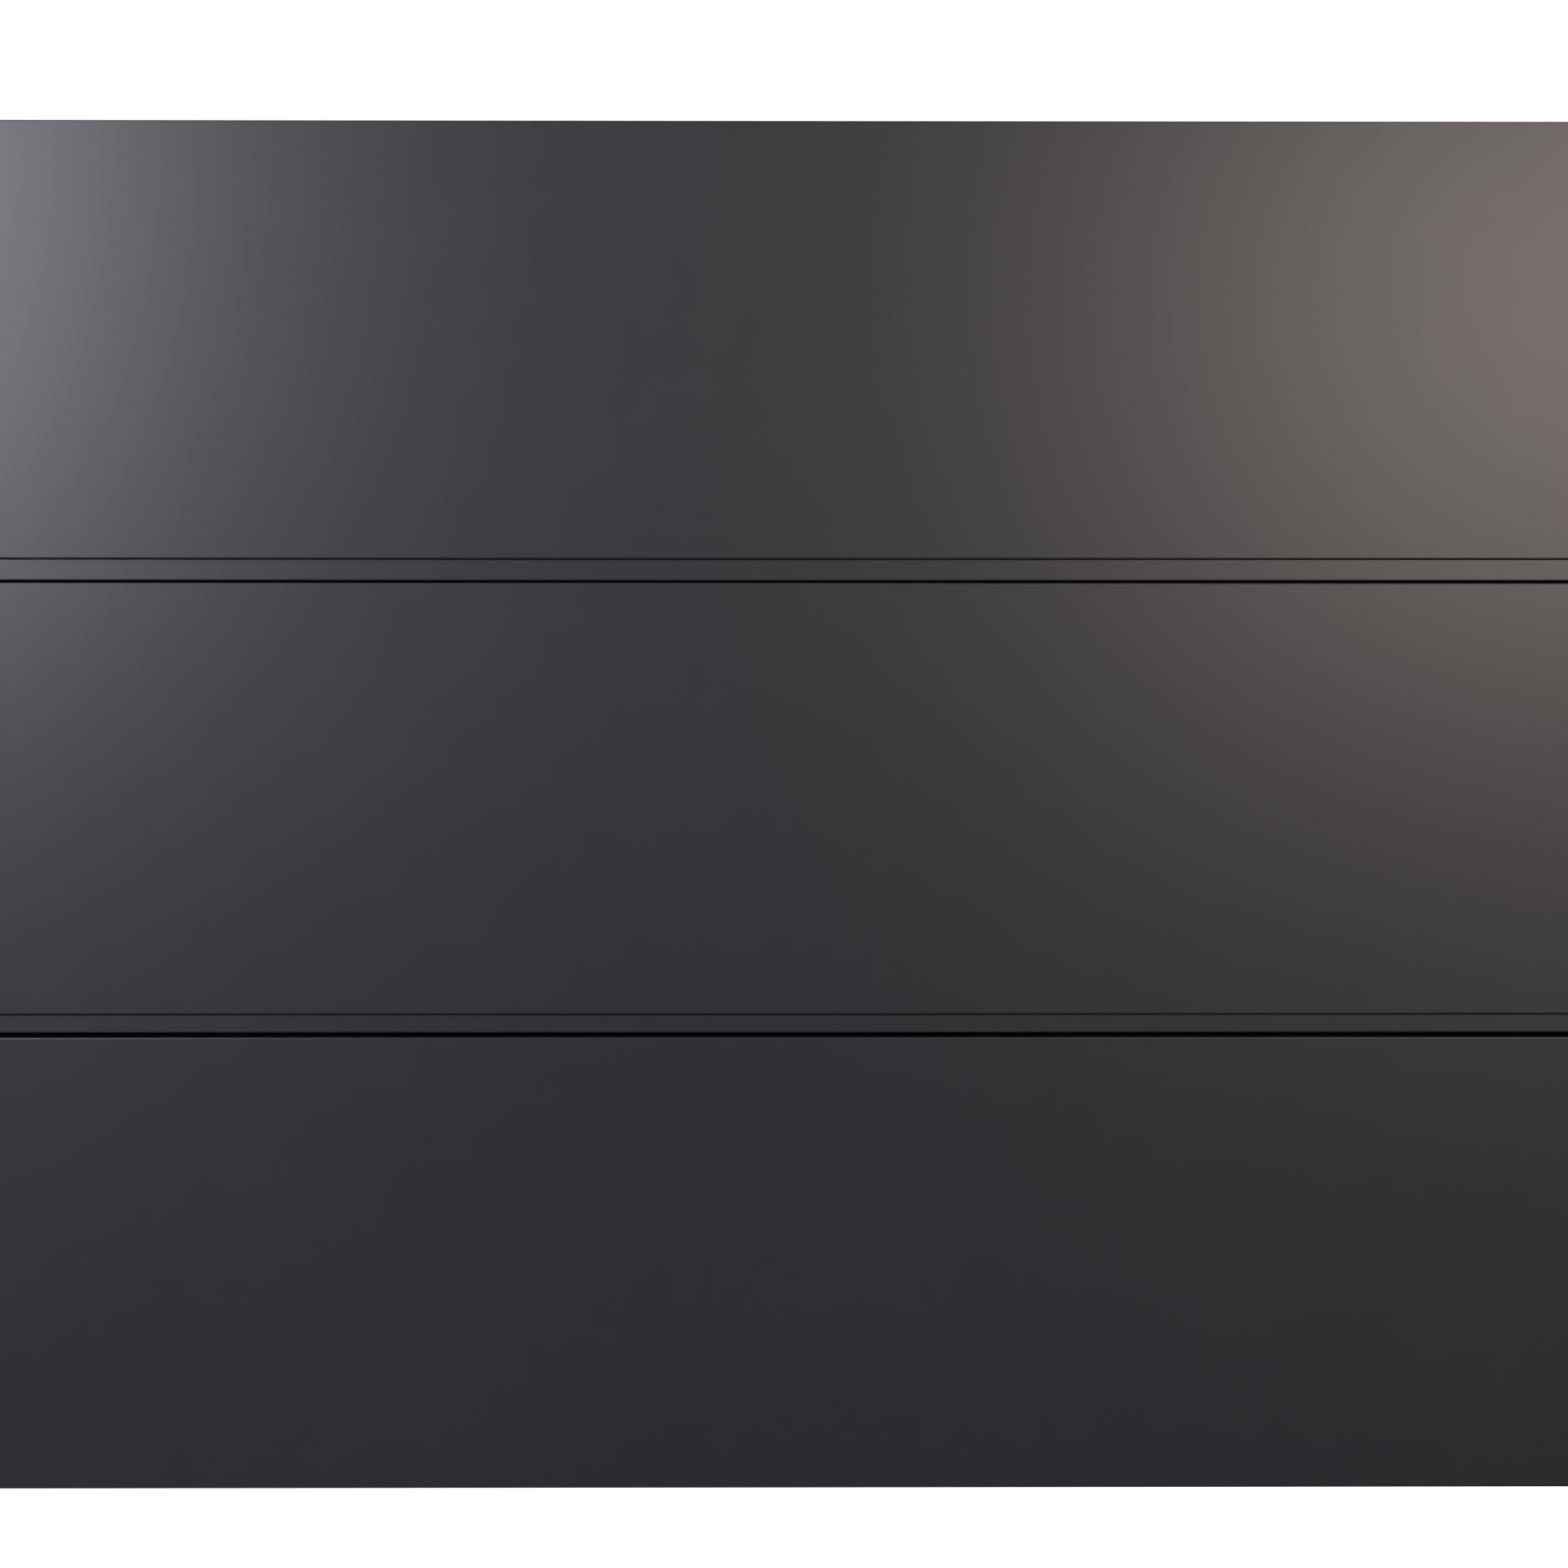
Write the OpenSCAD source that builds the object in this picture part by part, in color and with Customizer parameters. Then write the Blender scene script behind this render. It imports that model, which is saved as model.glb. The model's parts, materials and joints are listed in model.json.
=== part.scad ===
// Dresser with three full-width, handleless drawers on four legs.
// Width runs along X, the drawer fronts face -Y and +Z is up. The origin lies on the floor, under
// the middle of the dresser's plan.

/* [Overall] */
// Width over the side panels and the drawer fronts
overall_w = 1200; // [1000:10:1400]
// Depth from the faces of the fronts to the rear edges of the sides
overall_d = 480; // [480:5:560]
// Height of the lowest front's bottom edge above the floor
leg_h = 109; // [89:5:159]

/* [Drawer fronts] */
// Height of the lower front
lower_front_h = 253.9; // [245:0.1:275]
// Height of the middle front
middle_front_h = 253.6; // [245:0.1:275]
// Height of the upper front, which also covers the edge of the top panel
upper_front_h = 258.9; // [250:0.1:280]
// Thickness of a front
front_t = 22; // [21:0.5:25]
// Open joint between the lower and the middle front
lower_joint = 2.4; // [1.2:0.1:4]
// Open joint between the middle and the upper front
upper_joint = 1.2; // [1.2:0.1:4]

/* [Shadow bands] */
// Height of the rebate along the middle front's bottom edge
middle_band_h = 10.5; // [6:0.1:16]
// Height of the rebate along the upper front's bottom edge
upper_band_h = 12.1; // [6:0.1:16]
// Depth of the rebates
band_in = 3; // [2:0.5:8]

/* [Touch latches] */
// Distance that a closed front can be pressed in, which releases its latches
press_gap = 3; // [2:0.5:4]
// Diameter of the latch's housing
latch_d = 10; // [8:0.5:11]
// Length of the latch's housing
latch_l = 44; // [30:1:50]

/* [Carcass] */
// Thickness of the carcass boards
board_t = 19; // [18:0.5:22]
// Thickness of the back panel
back_t = 6; // [4:0.5:8]
// Distance that the back panel stands in from the rear edges
back_inset = 10; // [6:1:16]
// Width of the cross rails behind the joints between the fronts
cross_rail_w = 60; // [50:5:90]
// Height of the rear rail that carries the wall fixings
rear_rail_h = 80; // [70:5:120]
// Distance between the two wall fixing holes
wall_fix_pitch = 900; // [600:10:960]
// Diameter of the wall fixing holes
wall_fix_d = 6; // [5:0.5:8]

/* [Legs] */
// Side of the square leg tube
leg_w = 30; // [25:1:40]
// Wall of the leg tube
leg_wall = 2; // [1.5:0.5:3]
// Side of the leg's fixing plate
plate_w = 80; // [70:2:90]
// Height of the plastic glide under a leg
glide_h = 6; // [4:1:10]

/* [Drawer boxes] */
// Height of a drawer box
box_h = 185; // [160:5:190]
// Thickness of the box sides and the box back
box_t = 15; // [14:1:16]
// Thickness of the box bottom
bottom_t = 8; // [6:1:10]
// Depth of the grooves that hold the box bottom
groove_d = 6; // [5:0.5:7]
// Number of dovetails at each rear corner
tails = 5; // [3:1:6]

/* [Drawer slides] */
// Length of the closed slide
slide_l = 400; // [350:50:400]
// Gap between the drawer box and the side panel
slide_gap = 13; // [13:0.5:14]
// Thickness of the slide's sheet steel
sheet = 1.2; // [1:0.1:1.2]
// Number of balls in one row of a ball cage
balls = 5; // [3:1:8]

/* [Hidden] */
LEVELS = ["lower", "middle", "upper"];
SIDES = ["left", "right"];
NODES = concat(
    ["top_panel", "bottom_panel", "back_panel", "rear_rail", "cross_rail_lower", "cross_rail_upper"],
    ["carcass_dowels", "cam_fittings", "back_screws", "euro_screws", "touch_latches", "leg_glides"],
    [for (s = SIDES) str("side_panel_", s)],
    [for (p = ["front", "rear"], s = SIDES) str("leg_", p, "_", s)],
    [for (p = ["drawer_front_", "box_back_", "box_bottom_", "drawer_fixings_"], l = LEVELS) str(p, l)],
    [for (p = ["slide_middle_pair_", "outer_ball_cages_", "inner_ball_cages_"], l = LEVELS) str(p, l)],
    [for (p = ["box_side_", "slide_outer_", "slide_inner_"], l = LEVELS, s = SIDES) str(p, l, "_", s)]
);
node = "all";

$fn = 32;
eps = 0.1;                                  // overshoot of every cutting body

// Levels: 0 is the lower drawer, 1 the middle one and 2 the upper one
front_h = [lower_front_h, middle_front_h, upper_front_h];
front_z = [
    leg_h,
    leg_h + lower_front_h + lower_joint,
    leg_h + lower_front_h + lower_joint + middle_front_h + upper_joint
];
band_h = [0, middle_band_h, upper_band_h];
overall_h = front_z[2] + upper_front_h;

// Planes across the width
x_out = overall_w / 2;
x_in = x_out - board_t;                     // inner face of a side panel
x_box = x_in - slide_gap;                   // outer face of a drawer box
x_box_in = x_box - box_t;

// Planes along the depth
y_face = -overall_d / 2;
y_front_rear = y_face + front_t;
y_carcass = y_front_rear + press_gap;
y_rear = overall_d / 2;
y_back = y_rear - back_inset - back_t;      // front face of the back panel
y_box_rear = y_back - board_t - 3;
y_box_back = y_box_rear - box_t;
y_slide = y_carcass + 4;

// Planes along the height
z_carcass = leg_h + 2;
z_top = overall_h - board_t;                // underside of the top panel
rail_drop = 8;                              // cross rail's underside below the upper edge of a front
cross_rail_z = [front_z[0] + front_h[0] - rail_drop, front_z[1] + front_h[1] - rail_drop];
box_clear = 16;                             // air under a drawer box
box_z = [
    z_carcass + board_t + box_clear,
    cross_rail_z[0] + board_t + box_clear,
    cross_rail_z[1] + board_t + box_clear
];
box_bottom_up = 12;                         // underside of the box bottom above the box's edge
slide_up = 60;                              // middle of the slide above the box's edge

// Back panel's grooves
back_groove = 8;                            // length of the panel's edge that sits in a groove
groove_play = 0.15;

// Fasteners
dowel_d = 8;
dowel_l = 30;
dowel_in = 12;                              // length of the dowel in the mating board
fit_play = 0.05;                            // radial play of dowels, cams and bolts
cam_d = 15;
cam_depth = 12;
bolt_d = 6;
bolt_in = 11;
carcass_reach = 34;                         // middle of a carcass cam behind the joint
box_reach = 24;                             // the same in a drawer side
euro_d = 5;
euro_l = 11;
plate_t = 3;
plate_hole = plate_w / 2 - 10;              // fixing hole's distance from the leg's middle

// Fastener places
top_dowel_y = [-170, 10, 150];
top_cam_y = [-90, 80];
bottom_dowel_y = [-140, 20, 110];
bottom_cam_y = [-60, 60];
cross_dowel_y = [y_carcass + 12, y_carcass + cross_rail_w - 12];
cross_cam_y = y_carcass + cross_rail_w / 2;
rear_dowel_z = [z_top - rear_rail_h + 15, z_top - 15];
wall_fix_z = z_top - rear_rail_h / 2;
back_screw_x = [-500, -250, 0, 250, 500];
box_dowel_z = [95, 168];
box_cam_z = [45, 140];
slide_hole_y = [37, 165, 293];              // from the slide's front end

// Touch latches
flange_d = 13;
flange_t = 1;
plunger_d = 5;
plunger_clear = 0.1;                        // air between a plunger and the closed front

// Legs
leg_x = x_out - 55;
front_leg_inset = 29;                       // from the carcass front to the front plates
rear_leg_inset = 34;                        // from the back panel to the rear plates
leg_y = [y_carcass + plate_w / 2 + front_leg_inset, y_back - plate_w / 2 - rear_leg_inset];

// Slide channels: u is the distance from the side panel, v the height from the slide's middle
outer_half = 22.5;
middle_u = 2.4;
middle_half = outer_half - sheet - 3.2;
inner_half = middle_half - sheet - 3.3;
ball_d = 2.6;
ball_hole_play = 0.1;
cage_t = 0.6;
outer_ball_u = 5;
outer_ball_v = (outer_half - sheet + middle_half) / 2;
inner_ball_u = 7.5;
inner_ball_v = (middle_half - sheet + inner_half) / 2;
inner_l = slide_l - 10;
cage_y0 = 104;                              // cage's front end behind the slide's front end
outer_cage_l = slide_l / 2 - 8;
inner_cage_l = slide_l / 2 - 18;

// Colours
lacquer = [0.21, 0.21, 0.22];
melamine = [0.26, 0.26, 0.27];
oak = [0.76, 0.60, 0.42];
plywood = [0.82, 0.70, 0.52];
beech = [0.80, 0.62, 0.42];
zinc = [0.72, 0.74, 0.76];
coated = [0.12, 0.12, 0.13];
nylon = [0.08, 0.08, 0.08];
latch_grey = [0.55, 0.55, 0.56];

// ---------------------------------------------------------------- placing helpers

// A board given by its two opposite corners
module board(p, q) {
    translate(p) cube(q - p);
}

// A profile drawn in (y, z), run along X
module along_x(x0, x1) {
    translate([x0, 0, 0]) rotate([90, 0, 90]) linear_extrude(x1 - x0) children();
}

// A profile drawn in (x, z), run along Y
module along_y(y0, y1) {
    translate([0, y1, 0]) rotate([90, 0, 0]) linear_extrude(y1 - y0) children();
}

// Modules are drawn on the right side and mirrored for the left one
module on_side(side) {
    mirror([side == "left" ? 1 : 0, 0, 0]) children();
}

module both_sides() {
    for (side = SIDES) on_side(side) children();
}

// ---------------------------------------------------------------- fasteners

// Dowel along X, with its joint plane at x = 0 and the mating board at x < 0
module dowel(play = 0) {
    translate([-dowel_in - play, 0, 0]) rotate([0, 90, 0])
        cylinder(h = dowel_l + 2 * play, d = dowel_d);
}

module dowel_piece() {
    translate([-dowel_in + 0.5, 0, 0]) rotate([0, 90, 0])
        cylinder(h = dowel_l - 1, d = dowel_d - 2 * fit_play);
}

// Cam and bolt: the bolt runs along X from the mating board at x < 0, and the cam sits in a bore
// from the board's face at z < 0
module cam_bores(reach, thick) {
    translate([-bolt_in - 0.5, 0, 0]) rotate([0, 90, 0]) cylinder(h = bolt_in + 0.5 + reach, d = bolt_d);
    translate([reach, 0, -thick / 2 - eps]) cylinder(h = cam_depth + 0.3 + eps, d = cam_d);
}

module cam_piece(reach, thick) {
    translate([-bolt_in, 0, 0]) rotate([0, 90, 0])
        cylinder(h = bolt_in + reach - cam_d / 2 - 0.3, d = bolt_d - 2 * fit_play);
    difference() {
        translate([reach, 0, -thick / 2]) cylinder(h = cam_depth, d = cam_d - 2 * fit_play);
        for (a = [45, 135])
            translate([reach, 0, -thick / 2]) rotate([0, 0, a]) cube([8, 1.6, 5], center = true);
    }
}

// Flat-headed system screw along X, with its seat at x = 0 and its shank at x > 0
module euro_screw(head_h) {
    translate([-head_h, 0, 0]) rotate([0, 90, 0]) cylinder(h = head_h, d = 9);
    rotate([0, 90, 0]) cylinder(h = euro_l + plate_t, d = euro_d - 2 * fit_play);
}

// Countersunk screw along X: the seat's narrow end is at x = 0, the head at x < 0
module sunk_screw(d, head_d, length) {
    translate([-sheet + 0.1, 0, 0]) rotate([0, 90, 0]) cylinder(h = sheet - 0.1, d1 = head_d, d2 = d);
    rotate([0, 90, 0]) cylinder(h = length, d = d);
}

module sunk_hole(d, head_d) {
    translate([-sheet - eps, 0, 0]) rotate([0, 90, 0])
        cylinder(h = sheet + 2 * eps, d1 = head_d + 0.8, d2 = d + 0.6);
}

// Pan-head screw along X, with its head on a face at x = 0
module pan_screw() {
    rotate([0, 90, 0]) cylinder(h = 25, d = 3.4);
    translate([-2, 0, 0]) rotate([0, 90, 0]) cylinder(h = 2, d = 7.5);
}

module pan_screw_hole() {
    translate([-2, 0, 0]) rotate([0, 90, 0]) cylinder(h = 28, d = 3.6);
}

// ---------------------------------------------------------------- joint places

module at_top_dowels() {
    both_sides() for (y = top_dowel_y)
        translate([x_in + board_t / 2, y, z_top]) rotate([0, 90, 0]) children();
}

module at_top_cams() {
    both_sides() for (y = top_cam_y)
        translate([x_in + board_t / 2, y, z_top]) rotate([0, 90, 0]) children();
}

module at_bottom_dowels() {
    both_sides() for (y = bottom_dowel_y)
        translate([x_in, y, z_carcass + board_t / 2]) rotate([0, 0, 180]) children();
}

module at_bottom_cams() {
    both_sides() for (y = bottom_cam_y)
        translate([x_in, y, z_carcass + board_t / 2]) rotate([0, 0, 180]) children();
}

module at_cross_dowels(k) {
    both_sides() for (y = cross_dowel_y)
        translate([x_in, y, cross_rail_z[k] + board_t / 2]) rotate([0, 0, 180]) children();
}

module at_cross_cams(k) {
    both_sides() translate([x_in, cross_cam_y, cross_rail_z[k] + board_t / 2])
        rotate([0, 0, 180]) children();
}

module at_rear_dowels() {
    both_sides() for (z = rear_dowel_z)
        translate([x_in, y_back - board_t / 2, z]) rotate([0, 0, 180]) children();
}

module at_rear_cams() {
    both_sides() translate([x_in, y_back - board_t / 2, wall_fix_z]) rotate([90, 0, 180]) children();
}

module at_back_screws() {
    for (x = back_screw_x) translate([x, y_back + back_t, z_carcass + board_t / 2])
        rotate([0, 0, -90]) children();
    for (x = [back_screw_x[1], back_screw_x[2], back_screw_x[3]])
        translate([x, y_back + back_t, rear_dowel_z[0]]) rotate([0, 0, -90]) children();
}

module at_wall_fixings() {
    for (s = [-1, 1]) translate([s * wall_fix_pitch / 2, 0, wall_fix_z]) children();
}

module at_legs() {
    both_sides() for (y = leg_y) translate([leg_x, y, 0]) children();
}

module at_plate_holes() {
    for (x = [-plate_hole, plate_hole], y = [-plate_hole, plate_hole]) translate([x, y, 0]) children();
}

// The four joints of one drawer side with its front, on the right side
module at_box_dowels(i) {
    for (z = box_dowel_z) translate([x_box - box_t / 2, y_front_rear, box_z[i] + z])
        rotate([90, 0, 90]) children();
}

module at_box_cams(i) {
    for (z = box_cam_z) translate([x_box - box_t / 2, y_front_rear, box_z[i] + z])
        rotate([90, 0, 90]) children();
}

// Touch latches in the front edges of the side panels, one at each end of a drawer front
module at_latches() {
    both_sides() for (i = [0 : 2])
        translate([x_in + board_t / 2, 0, front_z[i] + front_h[i] / 2]) children();
}

// Screw seats of the slide on the right side panel
module at_outer_holes(i) {
    for (y = slide_hole_y) translate([x_in, y_slide + y, box_z[i] + slide_up]) children();
}

// Screw seats of the slide on the right drawer side
module at_inner_holes(i) {
    for (y = slide_hole_y) translate([x_box, y_slide + y, box_z[i] + slide_up])
        rotate([0, 0, 180]) children();
}

// ---------------------------------------------------------------- carcass

module top_panel() {
    color(lacquer) difference() {
        board([-x_out, y_carcass, z_top], [x_out, y_rear, overall_h]);
        board([-x_in - back_groove, y_back - groove_play, z_top - eps],
            [x_in + back_groove, y_back + back_t + groove_play, z_top + back_groove + groove_play]);
        at_top_dowels() dowel(0.5);
        at_top_cams() cam_bores(carcass_reach, board_t);
    }
}

module side_panel(side) {
    color(lacquer) difference() {
        on_side(side) difference() {
            board([x_in, y_carcass, z_carcass], [x_out, y_rear, z_top]);
            board([x_in - eps, y_back - groove_play, z_carcass - eps],
                [x_in + back_groove + groove_play, y_back + back_t + groove_play, z_top + eps]);
            for (i = [0 : 2]) at_outer_holes(i) rotate([0, 90, 0])
                translate([0, 0, -eps]) cylinder(h = euro_l + 1 + eps, d = euro_d);
        }
        at_top_dowels() dowel(0.5);
        at_top_cams() cam_bores(carcass_reach, board_t);
        at_bottom_dowels() dowel(0.5);
        at_bottom_cams() cam_bores(carcass_reach, board_t);
        for (k = [0, 1]) {
            at_cross_dowels(k) dowel(0.5);
            at_cross_cams(k) cam_bores(carcass_reach, board_t);
        }
        at_rear_dowels() dowel(0.5);
        at_rear_cams() cam_bores(carcass_reach, board_t);
        at_latches() along_y(y_carcass - eps, y_carcass + latch_l + 0.5) circle(d = latch_d);
    }
}

module bottom_panel() {
    color(melamine) difference() {
        board([-x_in, y_carcass, z_carcass], [x_in, y_back, z_carcass + board_t]);
        at_bottom_dowels() dowel(0.5);
        at_bottom_cams() cam_bores(carcass_reach, board_t);
        at_back_screws() pan_screw_hole();
        at_legs() at_plate_holes() translate([0, 0, z_carcass - eps])
            cylinder(h = euro_l + 1 + eps, d = euro_d);
    }
}

module back_panel() {
    color(melamine) difference() {
        board([-x_in - back_groove, y_back, z_carcass],
            [x_in + back_groove, y_back + back_t, z_top + back_groove]);
        at_back_screws() pan_screw_hole();
        at_wall_fixings() along_y(y_back - eps, y_back + back_t + eps) circle(d = wall_fix_d);
    }
}

module rear_rail() {
    color(melamine) difference() {
        board([-x_in, y_back - board_t, z_top - rear_rail_h], [x_in, y_back, z_top]);
        at_rear_dowels() dowel(0.5);
        at_rear_cams() cam_bores(carcass_reach, board_t);
        at_back_screws() pan_screw_hole();
        at_wall_fixings() along_y(y_back - board_t - eps, y_back + eps) circle(d = wall_fix_d);
    }
}

module cross_rail(k) {
    z = cross_rail_z[k];
    color(melamine) difference() {
        board([-x_in, y_carcass, z], [x_in, y_carcass + cross_rail_w, z + board_t]);
        at_cross_dowels(k) dowel(0.5);
        at_cross_cams(k) cam_bores(carcass_reach, board_t);
    }
}

module carcass_dowels() {
    color(beech) {
        at_top_dowels() dowel_piece();
        at_bottom_dowels() dowel_piece();
        for (k = [0, 1]) at_cross_dowels(k) dowel_piece();
        at_rear_dowels() dowel_piece();
    }
}

module cam_fittings() {
    color(zinc) {
        at_top_cams() cam_piece(carcass_reach, board_t);
        at_bottom_cams() cam_piece(carcass_reach, board_t);
        for (k = [0, 1]) at_cross_cams(k) cam_piece(carcass_reach, board_t);
        at_rear_cams() cam_piece(carcass_reach, board_t);
    }
}

module back_screws() {
    color(zinc) at_back_screws() pan_screw();
}

// Housing in the bore, flange on the panel's edge and plunger against the closed front
module touch_latches() {
    color(latch_grey) at_latches() {
        along_y(y_carcass - flange_t / 2, y_carcass + latch_l) circle(d = latch_d - 2 * fit_play);
        along_y(y_carcass - flange_t, y_carcass) circle(d = flange_d);
        along_y(y_front_rear + plunger_clear, y_carcass - flange_t / 2) circle(d = plunger_d);
    }
}

// ---------------------------------------------------------------- legs

module leg(side, k) {
    color(coated) on_side(side) translate([leg_x, leg_y[k], 0]) difference() {
        union() {
            translate([-leg_w / 2, -leg_w / 2, glide_h])
                cube([leg_w, leg_w, z_carcass - plate_t - glide_h]);
            translate([-plate_w / 2, -plate_w / 2, z_carcass - plate_t])
                cube([plate_w, plate_w, plate_t]);
        }
        translate([-leg_w / 2 + leg_wall, -leg_w / 2 + leg_wall, glide_h - eps])
            cube([leg_w - 2 * leg_wall, leg_w - 2 * leg_wall, z_carcass - plate_t - glide_h + eps]);
        at_plate_holes() translate([0, 0, z_carcass - plate_t - eps])
            cylinder(h = plate_t + 2 * eps, d = euro_d + 0.5);
    }
}

module leg_glides() {
    plug = leg_w - 2 * leg_wall - 0.4;
    color(nylon) at_legs() {
        translate([-leg_w / 2, -leg_w / 2, 0]) cube([leg_w, leg_w, glide_h]);
        translate([-plug / 2, -plug / 2, glide_h]) cube([plug, plug, 12]);
    }
}

// Screws of the leg plates and of the slides' outer members
module euro_screws() {
    color(zinc) {
        at_legs() at_plate_holes() translate([0, 0, z_carcass - plate_t])
            rotate([0, -90, 0]) euro_screw(2);
        both_sides() for (i = [0 : 2]) at_outer_holes(i) sunk_screw(euro_d - 0.2, 7.4, euro_l);
    }
}

// ---------------------------------------------------------------- drawer fronts

// Section of a front in (y, z), with its lower edge at height 0 and a rebate along that edge
module front_section(h, band) {
    difference() {
        translate([y_face, 0]) square([front_t, h]);
        if (band > 0) translate([y_face - eps, -eps]) square([band_in + eps, band + eps]);
    }
}

module drawer_front(i) {
    color(lacquer) difference() {
        along_x(-x_out, x_out) translate([0, front_z[i]]) front_section(front_h[i], band_h[i]);
        board([-x_box_in - groove_d, y_front_rear - groove_d, box_z[i] + box_bottom_up],
            [x_box_in + groove_d, y_front_rear + eps, box_z[i] + box_bottom_up + bottom_t]);
        both_sides() {
            at_box_dowels(i) dowel(0.5);
            at_box_cams(i) cam_bores(box_reach, box_t);
        }
    }
}

// ---------------------------------------------------------------- drawer boxes

// Dovetails of the right drawer side in (y, z): they widen towards the rear end
module tail_outline(i, play) {
    pitch = box_h / tails;
    neck = pitch * 0.34;
    end = pitch * 0.42;
    for (k = [0 : tails - 1]) translate([y_box_back, box_z[i] + (k + 0.5) * pitch])
        polygon([
            [-eps, -neck - play], [box_t + play, -end - play],
            [box_t + play, end + play], [-eps, neck + play]
        ]);
}

module box_side(i, side) {
    color(oak) on_side(side) difference() {
        union() {
            board([x_box_in, y_front_rear, box_z[i]], [x_box, y_box_back, box_z[i] + box_h]);
            along_x(x_box_in, x_box) tail_outline(i, 0);
        }
        board([x_box_in - eps, y_front_rear - eps, box_z[i] + box_bottom_up],
            [x_box_in + groove_d, y_box_back, box_z[i] + box_bottom_up + bottom_t]);
        at_box_dowels(i) dowel(0.5);
        at_box_cams(i) cam_bores(box_reach, box_t);
        at_inner_holes(i) rotate([0, 90, 0]) translate([0, 0, -eps])
            cylinder(h = 12.5 + eps, d = 3.6);
    }
}

module box_back(i) {
    color(oak) difference() {
        board([-x_box, y_box_back, box_z[i]], [x_box, y_box_rear, box_z[i] + box_h]);
        both_sides() along_x(x_box_in, x_box + eps) intersection() {
            tail_outline(i, 0.001);
            translate([y_box_back - 2 * eps, box_z[i] - eps]) square([box_t + 4 * eps, box_h + 2 * eps]);
        }
        board([-x_box_in, y_box_back - eps, box_z[i] + box_bottom_up],
            [x_box_in, y_box_back + groove_d, box_z[i] + box_bottom_up + bottom_t]);
    }
}

module box_bottom(i) {
    z = box_z[i] + box_bottom_up;
    color(plywood) union() {
        board([-x_box_in - groove_d, y_front_rear - groove_d, z],
            [x_box_in + groove_d, y_box_back, z + bottom_t]);
        board([-x_box_in, y_front_rear, z], [x_box_in, y_box_back + groove_d, z + bottom_t]);
    }
}

module drawer_fixings(i) {
    both_sides() {
        color(beech) at_box_dowels(i) dowel_piece();
        color(zinc) at_box_cams(i) cam_piece(box_reach, box_t);
        color(zinc) at_inner_holes(i) sunk_screw(3.4, 6.2, 12);
    }
}

// ---------------------------------------------------------------- drawer slides

// Right slide's sections are drawn in (u, v) and placed on the side panel
module slide_place(i, y0, length) {
    translate([x_in, 0, box_z[i] + slide_up]) mirror([1, 0, 0]) along_y(y_slide + y0, y_slide + y0 + length)
        children();
}

// C-shaped sheet section that opens towards +u, with lips that turn inwards if lip is above 0
module channel(half, reach, lip) {
    inside = half - sheet;
    edge = lip > 0
        ? [[reach, half], [reach, inside - lip], [reach - sheet, inside - lip], [reach - sheet, inside]]
        : [[reach, half], [reach, inside]];
    upper = concat([[0, half]], edge, [[sheet, inside]]);
    lower = [for (k = [len(upper) - 1 : -1 : 0]) [upper[k][0], -upper[k][1]]];
    polygon(concat(upper, lower));
}

module slide_outer(i, side) {
    color(zinc) on_side(side) difference() {
        slide_place(i, 0, slide_l) channel(outer_half, 10, 2.7);
        at_outer_holes(i) sunk_hole(euro_d, 7.4);
    }
}

module slide_middle_pair(i) {
    color(zinc) both_sides() slide_place(i, 0, slide_l)
        translate([middle_u, 0]) channel(middle_half, 9.2, 2.7);
}

module slide_inner(i, side) {
    color(zinc) on_side(side) difference() {
        slide_place(i, 0, inner_l)
            translate([slide_gap, 0]) mirror([1, 0]) channel(inner_half, 8, 0);
        at_inner_holes(i) sunk_hole(3.4, 6.2);
    }
}

// Sheet cage with a row of balls above and below: u0 is the web, u1 the flanges' edge
module ball_cage(i, length, u0, u1, ball_u, ball_v) {
    step = length / balls;
    difference() {
        slide_place(i, cage_y0, length) {
            translate([u0, -ball_v - cage_t / 2]) square([cage_t, 2 * ball_v + cage_t]);
            for (s = [-1, 1]) translate([u0, s * ball_v - cage_t / 2]) square([u1 - u0, cage_t]);
        }
        at_balls(i, step, ball_u, ball_v)
            cylinder(h = 4 * cage_t, d = ball_d + 2 * ball_hole_play, center = true);
    }
    at_balls(i, step, ball_u, ball_v) sphere(d = ball_d);
}

module at_balls(i, step, ball_u, ball_v) {
    for (k = [0 : balls - 1], s = [-1, 1])
        translate([x_in - ball_u, y_slide + cage_y0 + (k + 0.5) * step,
            box_z[i] + slide_up + s * ball_v]) children();
}

module outer_ball_cages(i) {
    color(zinc) both_sides()
        ball_cage(i, outer_cage_l, sheet + 0.3, 8, outer_ball_u, outer_ball_v);
}

module inner_ball_cages(i) {
    color(zinc) both_sides()
        ball_cage(i, inner_cage_l, middle_u + sheet + 0.4, 9.6, inner_ball_u, inner_ball_v);
}

// ---------------------------------------------------------------- nodes

function wanted(name) = node == "all" || node == name;

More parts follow.
